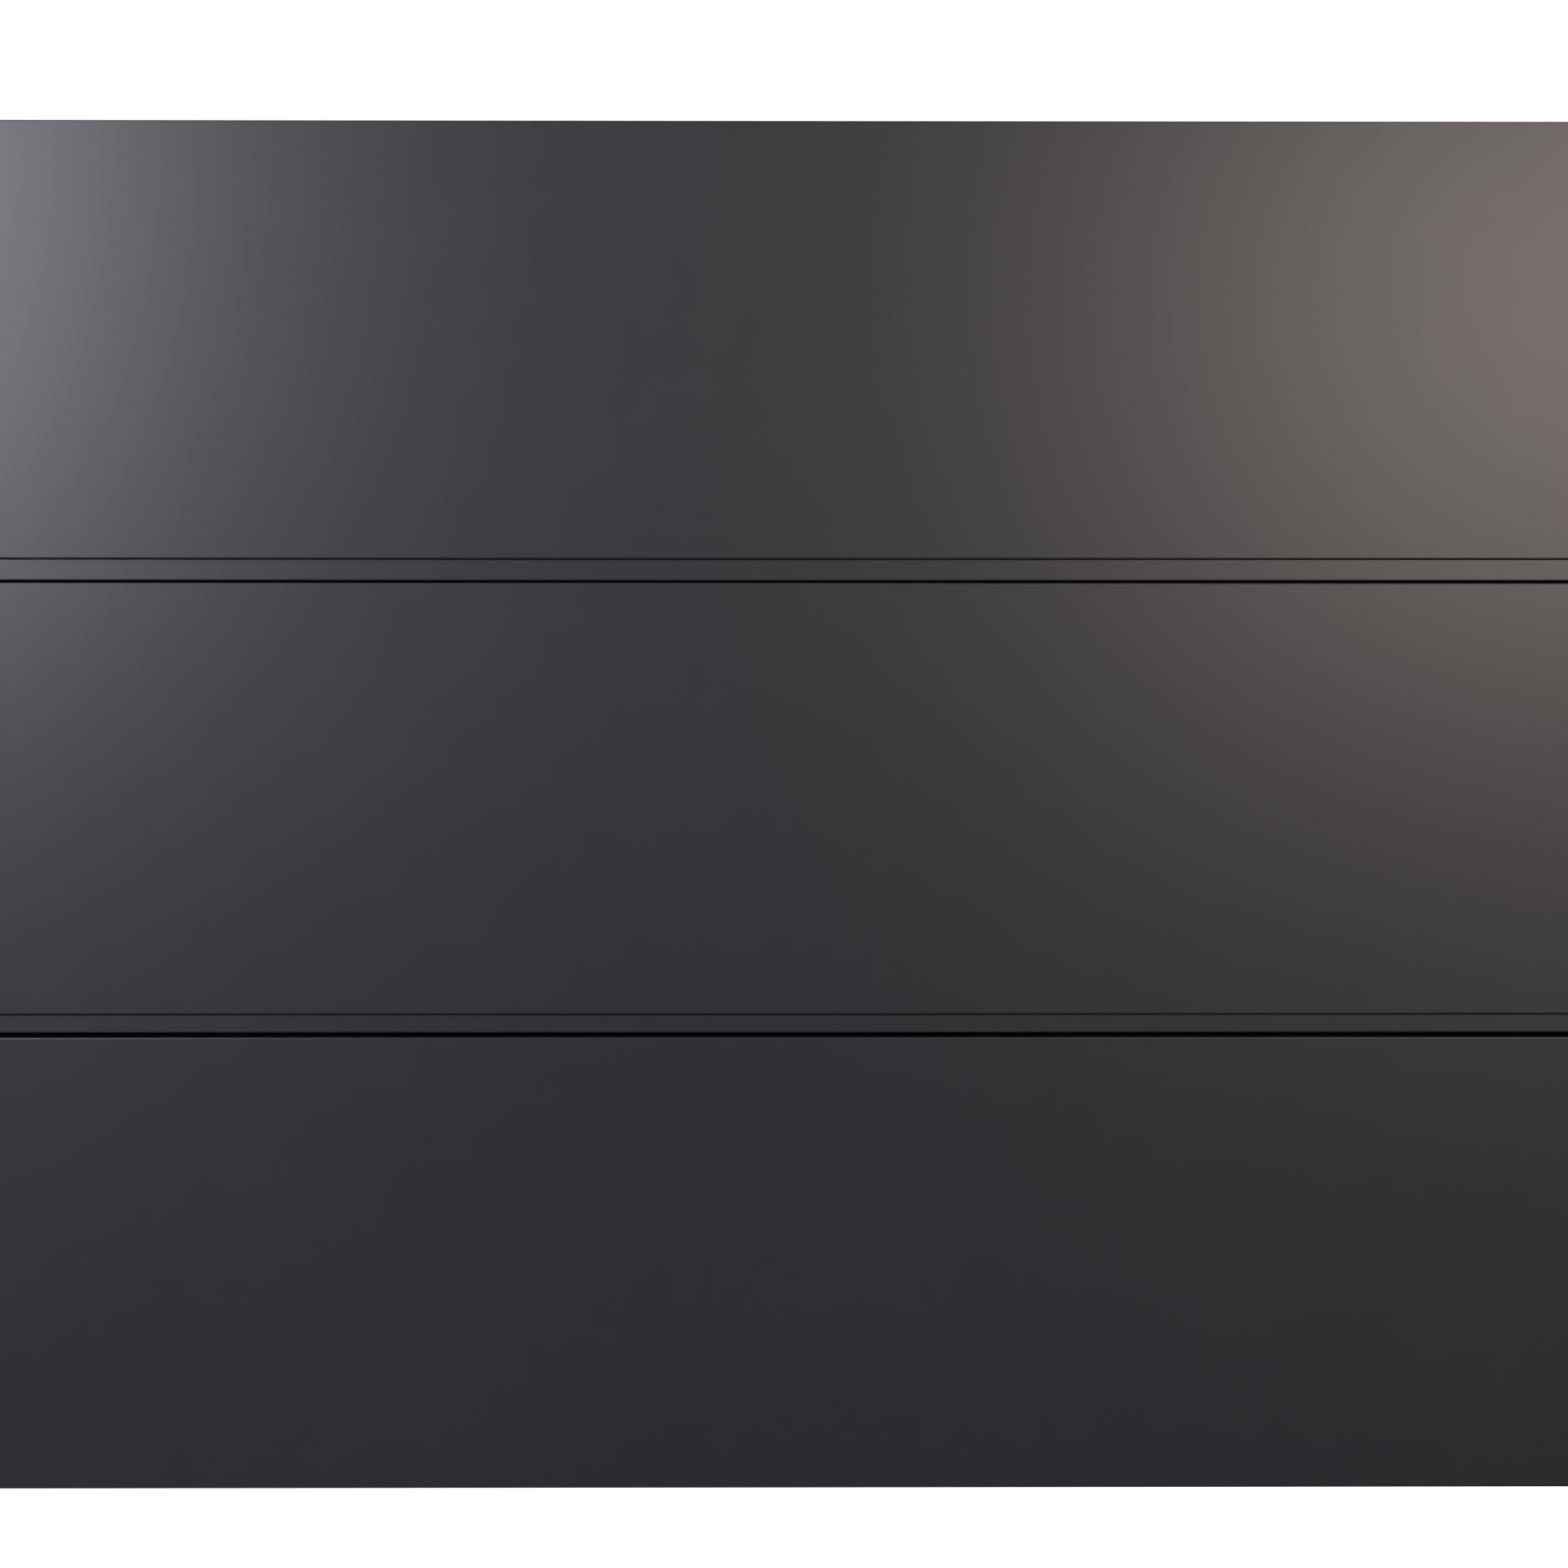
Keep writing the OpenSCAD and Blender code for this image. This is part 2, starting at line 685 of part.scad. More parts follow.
if (wanted("top_panel")) top_panel();
if (wanted("bottom_panel")) bottom_panel();
if (wanted("back_panel")) back_panel();
if (wanted("rear_rail")) rear_rail();
if (wanted("cross_rail_lower")) cross_rail(0);
if (wanted("cross_rail_upper")) cross_rail(1);
if (wanted("carcass_dowels")) carcass_dowels();
if (wanted("cam_fittings")) cam_fittings();
if (wanted("back_screws")) back_screws();
if (wanted("euro_screws")) euro_screws();
if (wanted("touch_latches")) touch_latches();
if (wanted("leg_glides")) leg_glides();
for (s = SIDES) {
    if (wanted(str("side_panel_", s))) side_panel(s);
    if (wanted(str("leg_front_", s))) leg(s, 0);
    if (wanted(str("leg_rear_", s))) leg(s, 1);
}
for (i = [0 : 2]) {
    if (wanted(str("drawer_front_", LEVELS[i]))) drawer_front(i);
    if (wanted(str("box_back_", LEVELS[i]))) box_back(i);
    if (wanted(str("box_bottom_", LEVELS[i]))) box_bottom(i);
    if (wanted(str("drawer_fixings_", LEVELS[i]))) drawer_fixings(i);
    if (wanted(str("slide_middle_pair_", LEVELS[i]))) slide_middle_pair(i);
    if (wanted(str("outer_ball_cages_", LEVELS[i]))) outer_ball_cages(i);
    if (wanted(str("inner_ball_cages_", LEVELS[i]))) inner_ball_cages(i);
}
for (i = [0 : 2], s = SIDES) {
    if (wanted(str("box_side_", LEVELS[i], "_", s))) box_side(i, s);
    if (wanted(str("slide_outer_", LEVELS[i], "_", s))) slide_outer(i, s);
    if (wanted(str("slide_inner_", LEVELS[i], "_", s))) slide_inner(i, s);
}
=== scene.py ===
"""Looks of a dresser with three handleless drawers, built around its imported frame."""

from __future__ import annotations

import json  # noqa: E402
import logging  # noqa: E402
import math  # noqa: E402
from dataclasses import dataclass, field, replace  # noqa: E402
from enum import Enum  # noqa: E402
from typing import Any, Sequence, Union  # noqa: E402

import bmesh  # noqa: E402
import bpy  # noqa: E402
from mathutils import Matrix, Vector  # noqa: E402

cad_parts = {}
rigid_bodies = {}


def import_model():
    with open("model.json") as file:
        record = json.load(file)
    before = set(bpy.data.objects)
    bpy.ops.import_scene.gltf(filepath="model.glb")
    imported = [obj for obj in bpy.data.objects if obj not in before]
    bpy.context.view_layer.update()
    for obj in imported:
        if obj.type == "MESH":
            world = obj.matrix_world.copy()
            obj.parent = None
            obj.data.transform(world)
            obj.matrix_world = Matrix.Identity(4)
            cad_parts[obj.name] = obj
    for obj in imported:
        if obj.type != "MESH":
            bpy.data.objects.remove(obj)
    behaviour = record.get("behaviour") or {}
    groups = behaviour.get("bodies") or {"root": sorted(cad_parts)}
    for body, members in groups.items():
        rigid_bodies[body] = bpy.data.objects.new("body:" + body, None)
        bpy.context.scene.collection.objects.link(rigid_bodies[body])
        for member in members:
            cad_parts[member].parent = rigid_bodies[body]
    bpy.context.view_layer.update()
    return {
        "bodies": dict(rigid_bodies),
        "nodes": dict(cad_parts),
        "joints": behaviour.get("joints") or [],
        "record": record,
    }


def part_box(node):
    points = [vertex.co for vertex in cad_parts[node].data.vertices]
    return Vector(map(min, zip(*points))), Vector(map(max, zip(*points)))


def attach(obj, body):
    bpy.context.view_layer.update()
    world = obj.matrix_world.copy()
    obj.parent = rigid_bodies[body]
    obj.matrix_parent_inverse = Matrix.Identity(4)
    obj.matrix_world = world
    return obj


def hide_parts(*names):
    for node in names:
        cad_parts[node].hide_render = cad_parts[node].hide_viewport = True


log = logging.getLogger("dresser")

MM = 0.001
SAME_POINT = 0.001 * MM
LEVELS = ("lower", "middle", "upper")
SIDES = ("left", "right")
CARCASS = "carcass"

Colour = tuple[float, float, float]
Point = tuple[float, float, float]
Window = tuple[float, float]
Value = Union["Shade", float, int, Sequence[float], bpy.types.Material]

NOISE_MIDDLE = 0.5


class Grain(Enum):
    """The axis that the fibres of a wooden piece run along."""

    ALONG_X = 0
    ALONG_Y = 1
    ALONG_Z = 2


class Part(Enum):
    """The parts of the object that have a material slot of their own in the record."""

    LACQUER = "lacquer"
    MELAMINE = "melamine"
    OAK = "oak"
    PLYWOOD = "plywood"
    STEEL = "zinc_steel"
    LEG = "leg_coating"
    NYLON = "nylon"
    LATCH = "latch_plastic"


def toned(colour: Colour, factor: float = 1.0) -> tuple[float, ...]:
    """Gives a colour made lighter or darker, with full opacity."""
    return (*(min(1.0, channel * factor) for channel in colour), 1.0)


def drawn_out(grain: Grain, stretch: float) -> Point:
    """Gives the scales that draw a pattern out along the grain.

    Args:
        grain: The axis that the pattern is drawn out along.
        stretch: The pattern's scale along that axis.

    Returns:
        The scales along X, Y and Z.
    """
    scales = [1.0, 1.0, 1.0]
    scales[grain.value] = stretch
    return tuple(scales)


# ------------------------------------------------------------------ node graphs


class Shade:
    """An output socket that takes part in sums, so that shader maths reads as Python."""

    def __init__(self, graph: Graph, socket: bpy.types.NodeSocket) -> None:
        """Wraps an output socket of a node in a graph."""
        self.graph = graph
        self.socket = socket

    def _maths(self, operation: str, first: Value, second: Value) -> Shade:
        """Adds one Math node.

        Args:
            operation: The Math node's operation.
            first: Its first value.
            second: Its second value.

        Returns:
            The result.
        """
        return self.graph.node("ShaderNodeMath", {"operation": operation}, {0: first, 1: second})

    def __add__(self, other: Value) -> Shade:
        """Adds a value to the socket."""
        return self._maths("ADD", self, other)

    def __radd__(self, other: Value) -> Shade:
        """Adds the socket to a value."""
        return self._maths("ADD", other, self)

    def __sub__(self, other: Value) -> Shade:
        """Takes a value from the socket."""
        return self._maths("SUBTRACT", self, other)

    def __rsub__(self, other: Value) -> Shade:
        """Takes the socket from a value."""
        return self._maths("SUBTRACT", other, self)

    def __mul__(self, other: Value) -> Shade:
        """Multiplies the socket by a value."""
        return self._maths("MULTIPLY", self, other)

    def __rmul__(self, other: Value) -> Shade:
        """Multiplies a value by the socket."""
        return self._maths("MULTIPLY", other, self)


class Graph:
    """Builds the nodes of one tree."""

    def __init__(self, tree: bpy.types.NodeTree) -> None:
        """Takes the tree and empties it."""
        self.tree = tree
        tree.nodes.clear()

    def node(
        self,
        kind: str,
        settings: dict[str, Any] | None = None,
        values: dict[Any, Value] | None = None,
        out: int | str = 0,
    ) -> Shade:
        """Adds any node.

        Args:
            kind: The node's type name.
            settings: Its settings, set first; "stops" holds a colour ramp's (place, colour) pairs.
            values: Numbers, vectors or links for its input sockets, by name or index.
            out: Which output is handed back.

        Returns:
            The output socket, or the first one of a node without outputs.
        """
        made = self.tree.nodes.new(kind)
        for name, setting in (settings or {}).items():
            if name == "stops":
                self._set_stops(made.color_ramp, setting)
            else:
                setattr(made, name, setting)
        for name, value in (values or {}).items():
            for one in value if isinstance(value, list) else [value]:
                self._feed(made.inputs[name], one)
        return Shade(self, made.outputs[out]) if len(made.outputs) else Shade(self, made.inputs[0])

    def _feed(self, socket: bpy.types.NodeSocket, value: Value) -> None:
        """Links a wrapped socket to an input, or sets the input's own value."""
        if isinstance(value, Shade):
            self.tree.links.new(value.socket, socket)
        else:
            socket.default_value = value

    @staticmethod
    def _set_stops(ramp: bpy.types.ColorRamp, stops: Sequence[tuple[float, Colour]]) -> None:
        """Gives a colour ramp its stops.

        Args:
            ramp: The ramp.
            stops: The stops' places, from 0 to 1, and their colours.
        """
        while len(ramp.elements) < len(stops):
            ramp.elements.new(1.0)
        for element, (place, colour) in zip(ramp.elements, stops):
            element.position = place
            element.color = (*colour, 1.0)

    def blend(self, share: Value, first: Value, second: Value) -> Shade:
        """Mixes two colours.

        Args:
            share: How much of the second colour shows, from 0 to 1.
            first: The first colour.
            second: The second colour.

        Returns:
            The mixed colour.
        """
        settings = {"data_type": "RGBA", "blend_type": "MIX"}
        return self.node("ShaderNodeMix", settings, {0: share, 6: first, 7: second}, out=2)

    def noise(self, place: Shade, scale: float, detail: float = 2.0, roughness: float = 0.5) -> Shade:
        """Adds a noise pattern.

        Args:
            place: The coordinates that it reads.
            scale: Its frequency, per metre of the coordinates.
            detail: How many finer layers it has.
            roughness: How strong the finer layers are.

        Returns:
            The pattern's value, around 0.5.
        """
        values = {"Vector": place, "Scale": scale, "Detail": detail, "Roughness": roughness}
        return self.node("ShaderNodeTexNoise", {}, values, out="Fac")

    def ramp(self, value: Shade, stops: Sequence[tuple[float, Colour]]) -> Shade:
        """Turns a value into a colour by a ramp's stops."""
        return self.node("ShaderNodeValToRGB", {"stops": stops}, {"Fac": value}, out="Color")

    def window(self, value: Shade, limits: Window) -> Shade:
        """Stretches a value so that the lower limit becomes 0 and the upper one 1, and clips the rest.

        Args:
            value: The value.
            limits: The two limits.

        Returns:
            The stretched value.
        """
        values = {"Value": value, "From Min": limits[0], "From Max": limits[1]}
        return self.node("ShaderNodeMapRange", {"clamp": True}, values, out="Result")

    def object_place(self, stretch: Point = (1.0, 1.0, 1.0), shift: Point = (0.0, 0.0, 0.0)) -> Shade:
        """Gives the object's own coordinates, stretched and shifted."""
        place = self.node("ShaderNodeTexCoord", {}, {}, out="Object")
        values = {"Vector": place, "Scale": stretch, "Location": shift}
        return self.node("ShaderNodeMapping", {}, values)

    def scaled(self, place: Shade, scales: Point) -> Shade:
        """Scales coordinates along each axis."""
        return self.node("ShaderNodeMapping", {}, {"Vector": place, "Scale": scales})

    def moved(self, place: Shade, by: Shade) -> Shade:
        """Moves coordinates by a vector."""
        return self.node("ShaderNodeVectorMath", {"operation": "ADD"}, {0: place, 1: by}, out="Vector")

    def bump(self, height: Shade, depth: float, strength: float = 1.0) -> Shade:
        """Turns a height pattern into a normal.

        Args:
            height: The pattern.
            depth: The height of one unit of it, in metres.
            strength: How much of it shows.

        Returns:
            The bent normal.
        """
        values = {"Height": height, "Distance": depth, "Strength": strength}
        return self.node("ShaderNodeBump", {}, values, out="Normal")


# ------------------------------------------------------------------ finishes


@dataclass(frozen=True)
class Finish:
    """What every finish has: a slot in the record and a principled shader.

    Args:
        slot: The part's slot in the record; not used.
        colour: The base colour.
        roughness: The base roughness, from 0 to 1.
    """

    slot: Part
    colour: Colour = (0.5, 0.5, 0.5)
    roughness: float = 0.5

    def material(self, name: str) -> bpy.types.Material:
        """Makes the finish's material, or hands back the one that it has made before.

        Args:
            name: The material's name.

        Returns:
            The material.
        """
        if name in bpy.data.materials:
            return bpy.data.materials[name]
        made = bpy.data.materials.new(name)
        made.use_nodes = True
        made.diffuse_color = toned(self.colour)
        graph = Graph(made.node_tree)
        varying = {"Base Color": toned(self.colour), "Roughness": self.roughness}
        varying.update(self.wire(graph))
        shader = graph.node("ShaderNodeBsdfPrincipled", {}, varying, out="BSDF")
        graph.node("ShaderNodeOutputMaterial", {}, {"Surface": shader})
        return made

    def wire(self, graph: Graph) -> dict[str, Value]:
        """Builds the pattern nodes and says what they feed, by the shader's socket names."""
        return {}


@dataclass(frozen=True)
class Lacquer(Finish):
    """Sprayed silk-matt lacquer: an even coat with a faint peel and slightly uneven sheen.

    Args:
        peel_scale: The peel's frequency, per metre.
        peel_depth: The peel's depth, in metres.
        sheen_play: How much the roughness varies.
        tone_play: How much the tone varies, from 0 to 1.
    """

    peel_scale: float = 420.0
    peel_depth: float = 0.004 * MM
    sheen_play: float = 0.02
    tone_play: float = 0.05

    CLOUD_SCALE, CLOUD_SHARE = 3.5, 0.6
    FINE_SCALE, FINE_SHARE = 60.0, 0.4
    TONE_WINDOW = (0.3, 0.7)

    def wire(self, graph: Graph) -> dict[str, Value]:
        """Builds the peel and the unevenness.

        Args:
            graph: The material's nodes.

        Returns:
            What feeds the shader, by its socket names.
        """
        place = graph.object_place()
        cloud = graph.noise(place, self.CLOUD_SCALE, detail=3.0)
        fine = graph.noise(place, self.FINE_SCALE, detail=4.0, roughness=0.6)
        darker = toned(self.colour, 1.0 - self.tone_play)
        lighter = toned(self.colour, 1.0 + self.tone_play)
        tone = graph.window(cloud * self.CLOUD_SHARE + fine * self.FINE_SHARE, self.TONE_WINDOW)
        sheen = (cloud - NOISE_MIDDLE) * self.sheen_play
        fine_sheen = (fine - NOISE_MIDDLE) * self.sheen_play
        peel = graph.noise(place, self.peel_scale, detail=1.5)
        return {
            "Base Color": graph.blend(tone, darker, lighter),
            "Roughness": self.roughness + sheen + fine_sheen,
            "Normal": graph.bump(peel, self.peel_depth),
        }


@dataclass(frozen=True)
class Melamine(Finish):
    """Melamine-faced board with a fine pearl texture pressed into it.

    Args:
        pearl_scale: The texture's frequency, per metre.
        pearl_depth: The texture's depth, in metres.
    """

    pearl_scale: float = 900.0
    pearl_depth: float = 0.03 * MM

    CLOUD_SCALE = 5.0
    SHEEN_PLAY = 0.08
    DARKER, LIGHTER = 0.93, 1.07
    PEARL_WINDOW = (0.35, 0.65)

    def wire(self, graph: Graph) -> dict[str, Value]:
        """Builds the pearl texture.

        Args:
            graph: The material's nodes.

        Returns:
            What feeds the shader, by its socket names.
        """
        place = graph.object_place()
        pearl = graph.noise(place, self.pearl_scale, detail=2.0, roughness=0.6)
        cloud = graph.noise(place, self.CLOUD_SCALE, detail=2.0)
        tone = graph.window(pearl, self.PEARL_WINDOW)
        darker, lighter = toned(self.colour, self.DARKER), toned(self.colour, self.LIGHTER)
        return {
            "Base Color": graph.blend(tone, darker, lighter),
            "Roughness": self.roughness + (cloud - NOISE_MIDDLE) * self.SHEEN_PLAY,
            "Normal": graph.bump(pearl, self.pearl_depth),
        }


@dataclass(frozen=True)
class Wood(Finish):
    """Oiled solid wood, glued up from staves: growth lines, fine streaks and open pores.

    Args:
        dark: The colour of the late wood.
        grain: The axis that the fibres run along.
        across: The axis that the staves are laid along, side by side.
        contrast: How strongly the growth lines show, from 0 to 1.
        stave: The width of one glued stave, in metres.
        stave_play: How much the staves differ in tone, from 0 to 1.
        pore_share: How dark the pores are, from 0 to 1.
    """

    dark: Colour = (0.2, 0.1, 0.05)
    grain: Grain = Grain.ALONG_Y
    across: Grain = Grain.ALONG_Z
    contrast: float = 0.75
    stave: float = 62 * MM
    stave_play: float = 0.22
    pore_share: float = 0.5

    STAVE_JUMP = (3.1, 5.3, 0.7)
    SWAY_SCALE, SWAY_STRETCH = 9.0, 0.12
    WANDER = 14 * MM
    GROWTH_SCALE, STREAK_SCALE, FIBRE_STRETCH = 75.0, 420.0, 0.045
    PORE_SCALE, PORE_STRETCH, PORE_SHADE = 1300.0, 0.035, 0.42
    PORE_WINDOW = (0.60, 0.74)
    EARLY_WOOD_WINDOW = (0.42, 0.58)
    FIGURE_WINDOW = (0.36, 0.66)
    TONE_WINDOW = (-0.1, 1.0)
    STREAK_SHARE = 0.7
    STREAK_ROUGHNESS, PORE_ROUGHNESS = 0.12, 0.2
    STREAK_RELIEF, RELIEF_DEPTH = 0.3, 0.05 * MM

    def _staves(self, graph: Graph) -> tuple[Shade, Shade]:
        """Splits a board into staves.

        Args:
            graph: The material's nodes.

        Returns:
            Coordinates that jump from stave to stave, and each stave's own tone.
        """
        place = graph.object_place()
        across = "XYZ"[self.across.value]
        split = graph.node("ShaderNodeSeparateXYZ", {}, {0: place}, out=across)
        staves = split * (1.0 / self.stave)
        number = graph.node("ShaderNodeMath", {"operation": "FLOOR"}, {0: staves})
        kind = {"noise_dimensions": "1D"}
        chance = graph.node("ShaderNodeTexWhiteNoise", kind, {"W": number}, out="Value")
        jumps = {axis: chance * far for axis, far in enumerate(self.STAVE_JUMP)}
        jump = graph.node("ShaderNodeCombineXYZ", {}, jumps)
        return graph.moved(place, jump), chance

    def wire(self, graph: Graph) -> dict[str, Value]:
        """Builds the growth lines, the streaks and the pores.

        Args:
            graph: The material's nodes.

        Returns:
            What feeds the shader, by its socket names.
        """
        place, chance = self._staves(graph)
        slow = graph.scaled(place, drawn_out(self.grain, self.SWAY_STRETCH))
        sway = (graph.noise(slow, self.SWAY_SCALE, detail=1.0) - NOISE_MIDDLE) * self.WANDER
        swing = graph.node("ShaderNodeCombineXYZ", {}, {0: sway, 1: sway, 2: sway})
        bent = graph.moved(place, swing)
        fibre = graph.scaled(bent, drawn_out(self.grain, self.FIBRE_STRETCH))
        growth = graph.noise(fibre, self.GROWTH_SCALE, detail=2.0, roughness=0.55)
        streaks = graph.noise(fibre, self.STREAK_SCALE, detail=3.0, roughness=0.6)
        pore_place = graph.scaled(bent, drawn_out(self.grain, self.PORE_STRETCH))
        pores = graph.window(graph.noise(pore_place, self.PORE_SCALE, detail=1.0), self.PORE_WINDOW)
        pore_mask = pores * graph.window(growth, self.EARLY_WOOD_WINDOW) * self.pore_share
        lines = graph.window(growth, self.FIGURE_WINDOW) * self.contrast
        figure = lines + (streaks - NOISE_MIDDLE) * self.STREAK_SHARE * self.contrast
        stave_tone = (chance - NOISE_MIDDLE) * self.stave_play
        tone = graph.window(figure + stave_tone, self.TONE_WINDOW)
        body = graph.blend(tone, toned(self.colour), toned(self.dark))
        rough = streaks * self.STREAK_ROUGHNESS + pore_mask * self.PORE_ROUGHNESS
        return {
            "Base Color": graph.blend(pore_mask, body, toned(self.dark, self.PORE_SHADE)),
            "Roughness": self.roughness + rough,
            "Normal": graph.bump(streaks * self.STREAK_RELIEF - pore_mask, self.RELIEF_DEPTH),
        }


@dataclass(frozen=True)
class Steel(Finish):
    """Rolled and zinc-plated sheet: streaks along the rolling direction and a mottled passivation.

    Args:
        rolled: The rolling direction.
        metallic: How metallic the plating looks, from 0 to 1.
    """

    rolled: Grain = Grain.ALONG_Y
    metallic: float = 0.7

    STREAK_SCALE, STREAK_STRETCH, STREAK_DEPTH = 700.0, 0.04, 0.01 * MM
    MOTTLE_SCALE, MOTTLE_WINDOW = 90.0, (0.35, 0.7)
    STREAK_ROUGHNESS, MOTTLE_ROUGHNESS = 0.14, 0.08
    BLUER = (0.86, 0.9, 0.97)

    def wire(self, graph: Graph) -> dict[str, Value]:
        """Builds the streaks and the mottling.

        Args:
            graph: The material's nodes.

        Returns:
            What feeds the shader, by its socket names.
        """
        rolled = graph.object_place(drawn_out(self.rolled, self.STREAK_STRETCH))
        streaks = graph.noise(rolled, self.STREAK_SCALE, detail=3.0)
        mottle = graph.noise(graph.object_place(), self.MOTTLE_SCALE, detail=3.0)
        bluer = toned(tuple(c * share for c, share in zip(self.colour, self.BLUER)))
        tone = graph.window(mottle, self.MOTTLE_WINDOW)
        rough = streaks * self.STREAK_ROUGHNESS + mottle * self.MOTTLE_ROUGHNESS
        return {
            "Base Color": graph.blend(tone, toned(self.colour), bluer),
            "Metallic": self.metallic,
            "Roughness": self.roughness + rough,
            "Normal": graph.bump(streaks, self.STREAK_DEPTH),
        }


@dataclass(frozen=True)
class Coating(Finish):
    """Powder coating or moulded plastic: one colour with a fine, even texture.

    Args:
        grit_scale: The texture's frequency, per metre.
        grit_depth: The texture's depth, in metres.
    """

    grit_scale: float = 1400.0
    grit_depth: float = 0.03 * MM

    GRIT_WINDOW = (0.4, 0.7)
    LIGHTER = 1.25
    WEAR_SCALE, WEAR_PLAY = 25.0, 0.1

    def wire(self, graph: Graph) -> dict[str, Value]:
        """Builds the fine texture.

        Args:
            graph: The material's nodes.

        Returns:
            What feeds the shader, by its socket names.
        """
        place = graph.object_place()
        grit = graph.noise(place, self.grit_scale, detail=2.0, roughness=0.6)
        wear = graph.noise(place, self.WEAR_SCALE, detail=3.0)
        tone = graph.window(grit, self.GRIT_WINDOW)
        return {
            "Base Color": graph.blend(tone, toned(self.colour), toned(self.colour, self.LIGHTER)),
            "Roughness": self.roughness + (wear - NOISE_MIDDLE) * self.WEAR_PLAY,
            "Normal": graph.bump(grit, self.grit_depth),
        }


LACQUER = Lacquer(Part.LACQUER, colour=(0.0242, 0.0240, 0.0294), roughness=0.301)
MELAMINE = Melamine(Part.MELAMINE, colour=(0.045, 0.044, 0.048), roughness=0.52)
OAK_ALONG_Y = Wood(Part.OAK, (0.46, 0.31, 0.175), 0.42, dark=(0.30, 0.175, 0.088))
OAK_ALONG_X = replace(OAK_ALONG_Y, grain=Grain.ALONG_X)
BIRCH = Wood(
    Part.PLYWOOD, (0.60, 0.45, 0.29), 0.4, dark=(0.50, 0.345, 0.20),
    grain=Grain.ALONG_X, across=Grain.ALONG_Y,
    contrast=0.5, stave=300 * MM, stave_play=0.1, pore_share=0.1,
)
ZINC = Steel(Part.STEEL, colour=(0.62, 0.63, 0.64), roughness=0.30)
BLACK_COAT = Coating(Part.LEG, colour=(0.012, 0.012, 0.013), roughness=0.5)
NYLON = Coating(
    Part.NYLON, colour=(0.01, 0.01, 0.01), roughness=0.45, grit_scale=500.0, grit_depth=0.01 * MM
)
ACETAL = Coating(
    Part.LATCH, colour=(0.16, 0.16, 0.165), roughness=0.38, grit_scale=300.0, grit_depth=0.004 * MM
)


# ------------------------------------------------------------------ workshop


def clean_up(mesh: bmesh.types.BMesh) -> None:
    """Merges the points that coincide and removes the faces without an area.

    Args:
        mesh: The mesh, which is changed.
    """
    bmesh.ops.remove_doubles(mesh, verts=mesh.verts, dist=SAME_POINT)
    bmesh.ops.dissolve_degenerate(mesh, dist=SAME_POINT, edges=mesh.edges)


